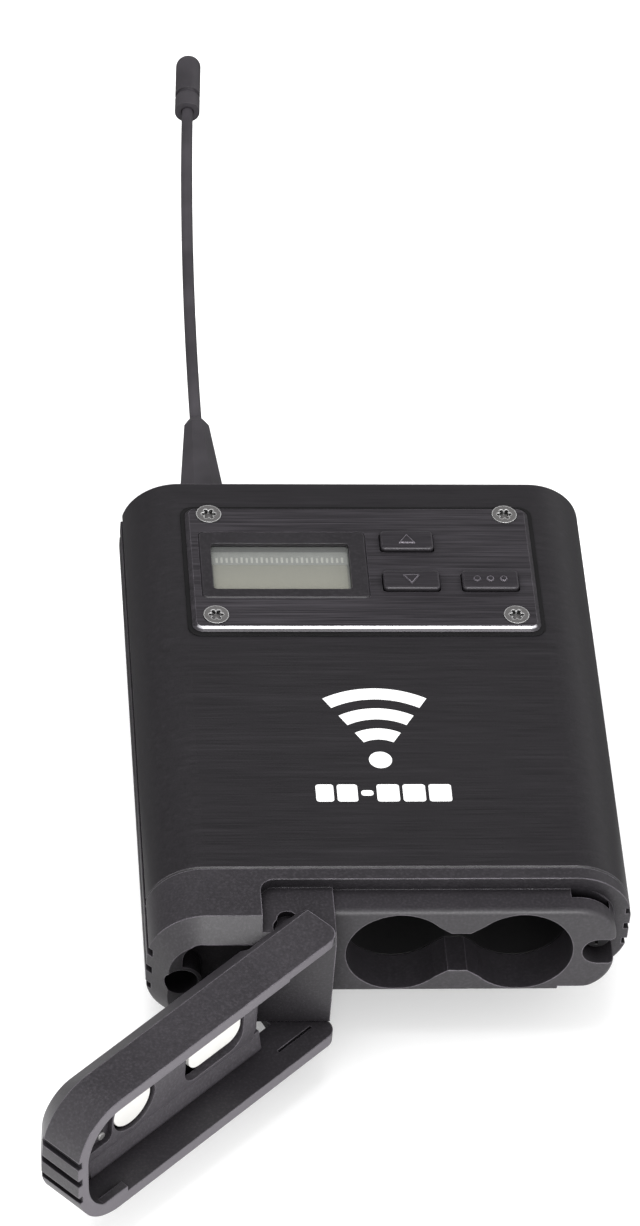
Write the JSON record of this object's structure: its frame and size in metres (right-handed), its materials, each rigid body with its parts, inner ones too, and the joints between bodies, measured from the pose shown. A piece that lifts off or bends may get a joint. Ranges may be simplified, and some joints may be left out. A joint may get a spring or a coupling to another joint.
{
  "type": "wireless bodypack transmitter",
  "caption": "Flat metal-sleeved belt transmitter lying on its back, with a swing-out battery door, display panel, push buttons, whip antenna and belt clip.",
  "frame": {"origin": "middle of the rear face's battery-end edge of the casing", "axes": "+X to the right seen from the front, +Y from the battery end to the antenna end, +Z out of the front face"},
  "size_m": [0.0865, 0.2485, 0.0298],
  "materials": {
    "sleeve_metal": "satin black",
    "plate_metal": "brushed black anodised",
    "cap_plastic": "fine spark texture",
    "button_plastic": "satin",
    "inner_plastic": "moulded",
    "bezel_plastic": "satin",
    "window_clear": "clear",
    "lcd_cell": "reflective grey-green",
    "zebra_strip": "matt",
    "dark_screw": "dark nickel",
    "nickel": "bright nickel",
    "spring_steel": "plain",
    "clip_steel": "black",
    "board": "solder mask",
    "shield": "tin plate",
    "switch_part": "moulded",
    "whip_rubber": "matt",
    "jack_metal": "nickel-plated",
    "lamp_lens": "tinted"
  },
  "bodies": {
    "pack": {"housing_sleeve": "sleeve_metal", "bottom_end_cap": "cap_plastic", "bottom_cap_screws": "dark_screw", "top_end_cap": "cap_plastic", "top_cap_screws": "dark_screw", "control_plate": "plate_metal", "panel_screws": "dark_screw", "lcd_bezel": "bezel_plastic", "lcd_window": "window_clear", "lcd_module": "lcd_cell", "lcd_connector": "zebra_strip", "tact_switches": "switch_part", "main_board": "board", "shield_can": "shield", "battery_holder": "inner_plastic", "cell_spring": "nickel", "cell_button_contact": "nickel", "door_hinge_pin": "spring_steel", "antenna_socket": "jack_metal", "antenna_boot": "whip_rubber", "antenna_whip": "whip_rubber", "antenna_tip": "inner_plastic", "mic_jack": "jack_metal", "mic_jack_nut": "jack_metal", "power_switch_body": "switch_part", "status_lamp": "lamp_lens", "clip_bracket": "clip_steel", "clip_screws": "dark_screw", "clip_pin": "spring_steel", "clip_spring": "spring_steel"},
    "door": {"battery_door": "cap_plastic", "door_contact_carrier": "inner_plastic", "door_contact_plate": "nickel", "door_carrier_screws": "dark_screw"},
    "up_key": {"up_button": "button_plastic"},
    "down_key": {"down_button": "button_plastic"},
    "set_key": {"set_button": "button_plastic"},
    "power_slider": {"power_switch_knob": "button_plastic"},
    "clip": {"belt_clip": "clip_steel"}
  },
  "joints": [
    {"name": "door_hinge", "type": "hinge", "parent": "pack", "child": "door", "pos_m": [-0.0154, 0.0023, 0.0105], "axis": [0, 0, 1], "range_deg": [0, 136]},
    {"name": "up_press", "type": "slide", "parent": "pack", "child": "up_key", "axis": [0, 0, -1], "range_m": [0, 0.0004]},
    {"name": "down_press", "type": "slide", "parent": "pack", "child": "down_key", "axis": [0, 0, -1], "range_m": [0, 0.0004]},
    {"name": "set_press", "type": "slide", "parent": "pack", "child": "set_key", "axis": [0, 0, -1], "range_m": [0, 0.0004]},
    {"name": "power_slide", "type": "slide", "parent": "pack", "child": "power_slider", "axis": [1, 0, 0], "range_m": [0, 0.002]},
    {"name": "clip_hinge", "type": "hinge", "parent": "pack", "child": "clip", "pos_m": [0, 0.074, -0.0034], "axis": [1, 0, 0], "range_deg": [0, 15]}
  ]
}
